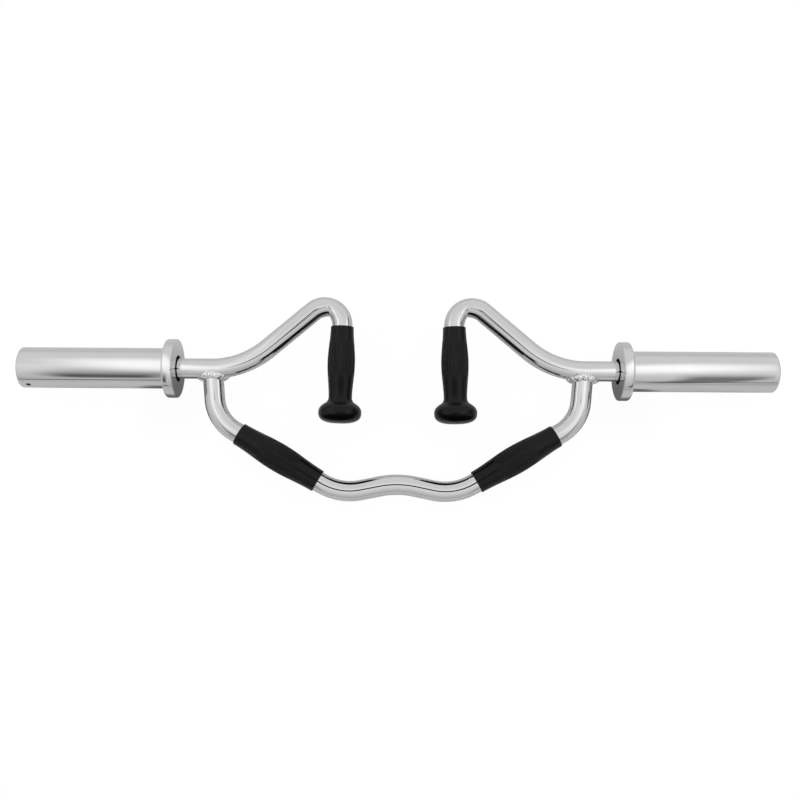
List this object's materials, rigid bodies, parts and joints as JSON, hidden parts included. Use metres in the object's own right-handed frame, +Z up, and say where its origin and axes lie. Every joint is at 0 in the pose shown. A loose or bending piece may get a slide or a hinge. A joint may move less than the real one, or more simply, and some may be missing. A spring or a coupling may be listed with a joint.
{
  "type": "triceps bar",
  "caption": "Short chromed weight bar with upright rubber handles in the middle, a bent curl bar with slanted rubber grips below them, and turning sleeves for plates at its ends.",
  "frame": {"origin": "on the floor, under the middle of the bounding box", "axes": "+X along the sleeves, +Y up the upright handles as the bar lies, +Z up from the floor that the bar lies on"},
  "size_m": [0.9266, 0.2486, 0.0727],
  "materials": {
    "curl_bar": "bright chrome plate on a bent round steel bar",
    "left_arm": "bright chrome plate on a bent round steel bar",
    "left_weld": "chrome plate over a rough weld bead",
    "left_handle_grip": "satin moulded rubber, fluted, with a round knob at the foot",
    "left_curl_grip": "satin moulded rubber, fluted lengthwise in the middle",
    "left_sleeve_tube": "bright chrome plate on a steel tube",
    "left_collar": "bright chrome plate on a turned steel disc",
    "left_collar_bush": "black nylon, as turned",
    "left_inner_bearing": "sintered bronze, oiled",
    "left_outer_bearing": "sintered bronze, oiled",
    "left_end_plug": "chrome plate on a turned steel plug",
    "left_spring_pin": "dark spring steel",
    "left_thrust_washer": "zinc plated",
    "left_end_bolt": "zinc plated",
    "right_arm": "bright chrome plate on a bent round steel bar",
    "right_weld": "chrome plate over a rough weld bead",
    "right_handle_grip": "satin moulded rubber, fluted, with a round knob at the foot",
    "right_curl_grip": "satin moulded rubber, fluted lengthwise in the middle",
    "right_sleeve_tube": "bright chrome plate on a steel tube",
    "right_collar": "bright chrome plate on a turned steel disc",
    "right_collar_bush": "black nylon, as turned",
    "right_inner_bearing": "sintered bronze, oiled",
    "right_outer_bearing": "sintered bronze, oiled",
    "right_end_plug": "chrome plate on a turned steel plug",
    "right_spring_pin": "dark spring steel",
    "right_thrust_washer": "zinc plated",
    "right_end_bolt": "zinc plated"
  },
  "bodies": {
    "frame": {"curl_bar": "curl_bar", "left_arm": "left_arm", "left_weld": "left_weld", "left_handle_grip": "left_handle_grip", "left_curl_grip": "left_curl_grip", "left_thrust_washer": "left_thrust_washer", "left_end_bolt": "left_end_bolt", "right_arm": "right_arm", "right_weld": "right_weld", "right_handle_grip": "right_handle_grip", "right_curl_grip": "right_curl_grip", "right_thrust_washer": "right_thrust_washer", "right_end_bolt": "right_end_bolt"},
    "left_sleeve": {"left_sleeve_tube": "left_sleeve_tube", "left_collar": "left_collar", "left_collar_bush": "left_collar_bush", "left_inner_bearing": "left_inner_bearing", "left_outer_bearing": "left_outer_bearing", "left_end_plug": "left_end_plug", "left_spring_pin": "left_spring_pin"},
    "right_sleeve": {"right_sleeve_tube": "right_sleeve_tube", "right_collar": "right_collar", "right_collar_bush": "right_collar_bush", "right_inner_bearing": "right_inner_bearing", "right_outer_bearing": "right_outer_bearing", "right_end_plug": "right_end_plug", "right_spring_pin": "right_spring_pin"}
  },
  "joints": [
    {"name": "left_sleeve_spin", "type": "hinge", "parent": "frame", "child": "left_sleeve", "pos_m": [-0.37, 0.03568, 0.03635], "axis": [1, 0, 0], "continuous": true},
    {"name": "right_sleeve_spin", "type": "hinge", "parent": "frame", "child": "right_sleeve", "pos_m": [0.37, 0.03568, 0.03635], "axis": [1, 0, 0], "continuous": true}
  ]
}
